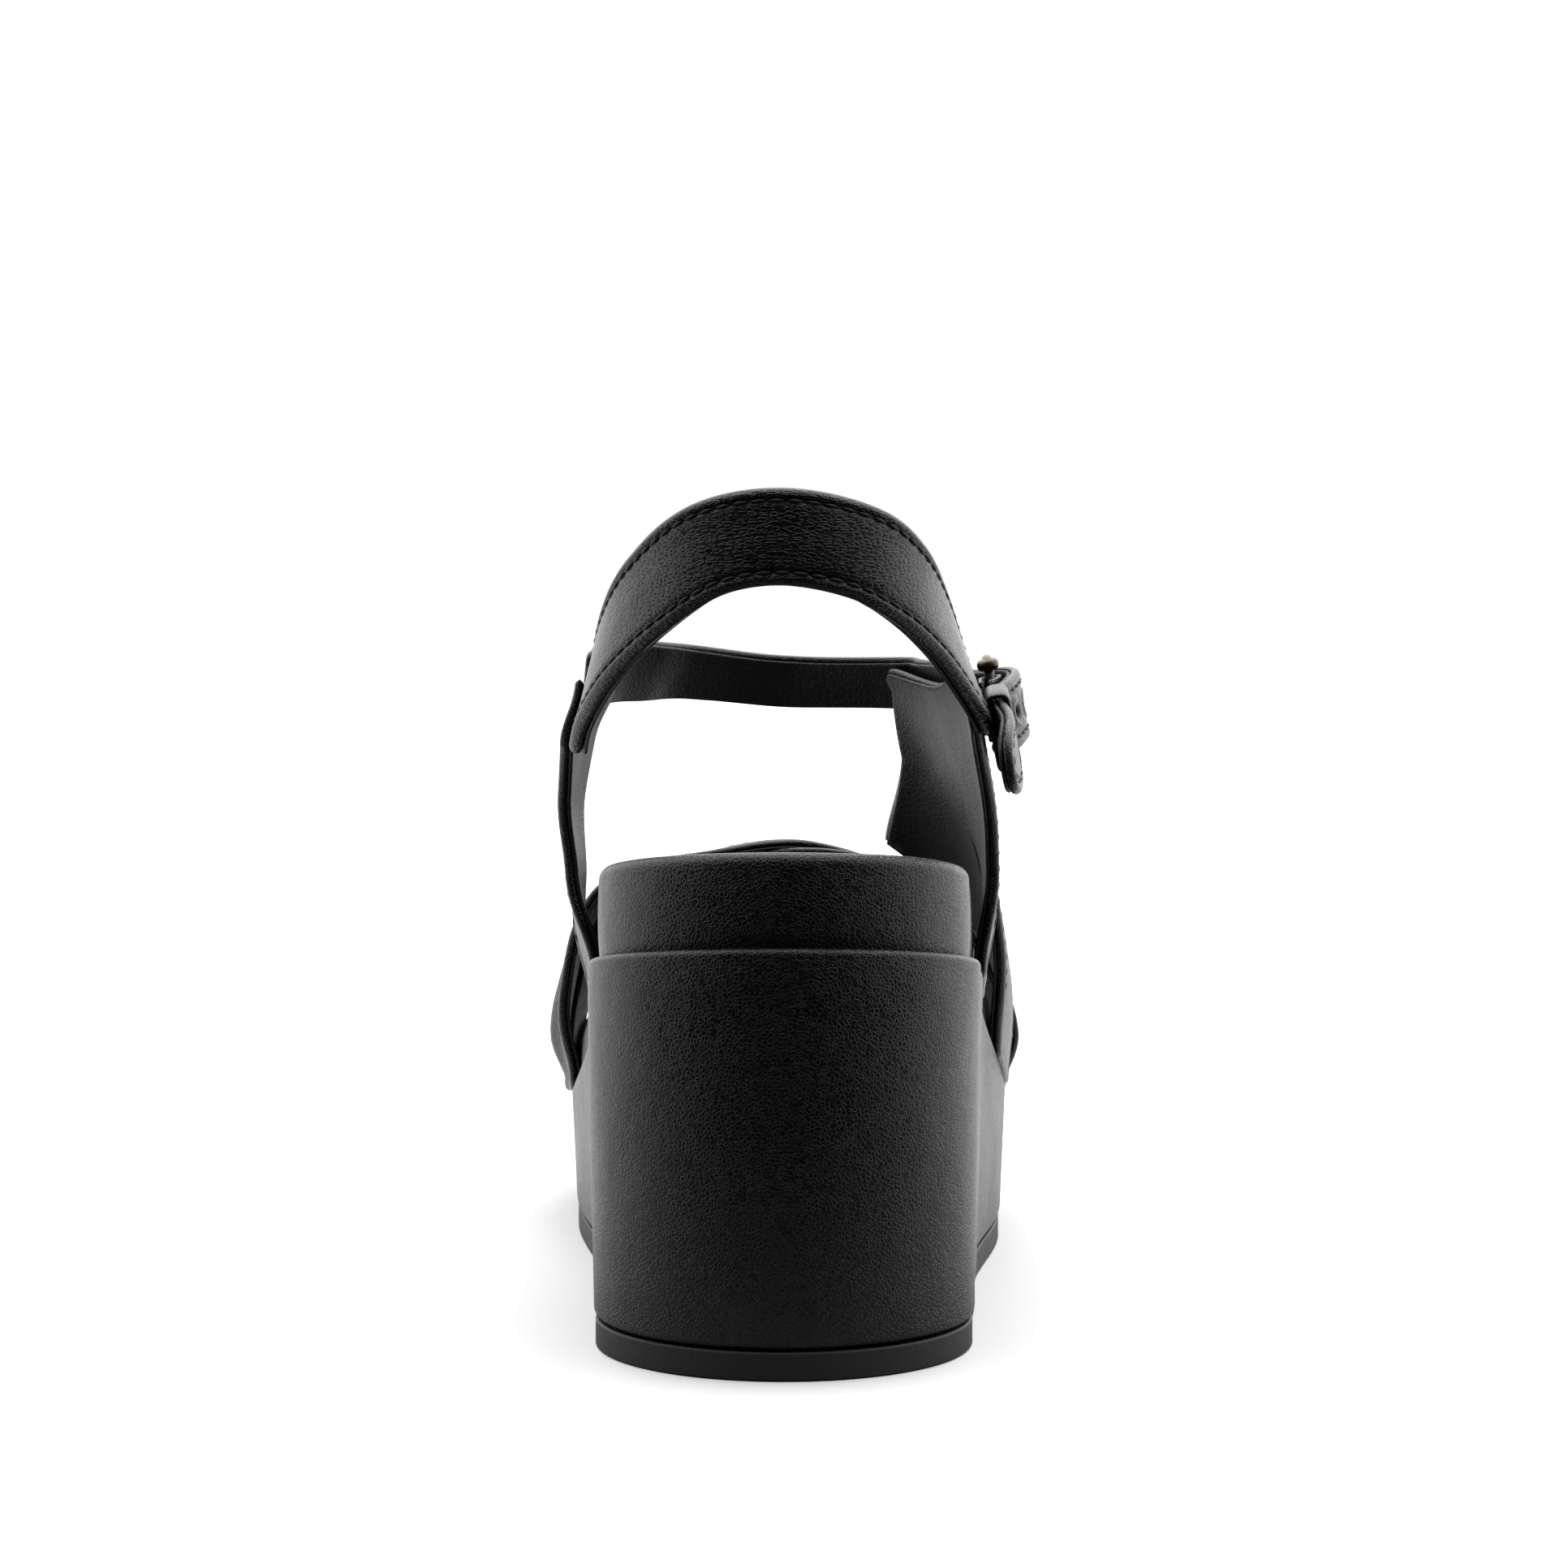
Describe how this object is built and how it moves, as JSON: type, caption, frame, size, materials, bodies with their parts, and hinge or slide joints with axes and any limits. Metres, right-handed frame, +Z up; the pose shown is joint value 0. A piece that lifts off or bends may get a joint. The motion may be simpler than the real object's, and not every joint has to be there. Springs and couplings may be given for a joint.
{
  "type": "wedge sandal",
  "caption": "Black leather platform wedge sandal for the right foot, with crossing toe bands, a padded heel strap and a buckled instep strap",
  "frame": {"origin": "on the ground, under the middle of the heel", "axes": "+Z up, +Y from the heel towards the toe, +X towards the outer side of the right foot"},
  "size_m": [0.0968, 0.24, 0.1444],
  "materials": {
    "black_leather": "satin",
    "lining_leather": "matte",
    "rubber": "matte",
    "cork": "matte",
    "steel": "satin",
    "fibreboard": "matte",
    "foam": "matte",
    "buckle_metal": "satin"
  },
  "bodies": {
    "sandal": {"outsole": "rubber", "wedge_core": "cork", "wedge_wrap": "black_leather", "shank": "steel", "shank_rivet_front": "steel", "shank_rivet_rear": "steel", "insole_board": "fibreboard", "footbed_foam": "foam", "footbed_wrap": "black_leather", "sock_lining": "lining_leather", "lateral_quarter_outer": "black_leather", "lateral_quarter_lining": "lining_leather", "medial_quarter_outer": "black_leather", "medial_quarter_lining": "lining_leather", "vamp_under_band_outer": "black_leather", "vamp_under_band_lining": "lining_leather", "vamp_over_band_outer": "black_leather", "vamp_over_band_lining": "lining_leather", "heel_strap_lining": "lining_leather", "heel_strap_foam": "foam", "heel_strap_outer": "black_leather", "buckle_chape": "black_leather", "keeper_loop": "black_leather"},
    "instep_strap": {"instep_strap_outer": "black_leather", "instep_strap_lining": "lining_leather"},
    "buckle": {"buckle_frame": "buckle_metal", "buckle_pin": "buckle_metal"},
    "prong": {"buckle_prong": "buckle_metal"}
  },
  "joints": [
    {"name": "instep_strap_open", "type": "hinge", "parent": "sandal", "child": "instep_strap", "pos_m": [-0.0316, 0.0453, 0.1132], "axis": [0.191, -0.059, 0.9798], "range_deg": [0, 110], "deforming": ["instep_strap_outer", "instep_strap_lining"]},
    {"name": "buckle_turn", "type": "hinge", "parent": "sandal", "child": "buckle", "pos_m": [0.03789, 0.03132, 0.10817], "axis": [0.1847, 0.084, -0.9792], "range_deg": [0, 40]},
    {"name": "prong_turn", "type": "hinge", "parent": "buckle", "child": "prong", "pos_m": [0.03789, 0.03132, 0.10817], "axis": [0.1847, 0.084, -0.9792], "range_deg": [0, 60]}
  ]
}
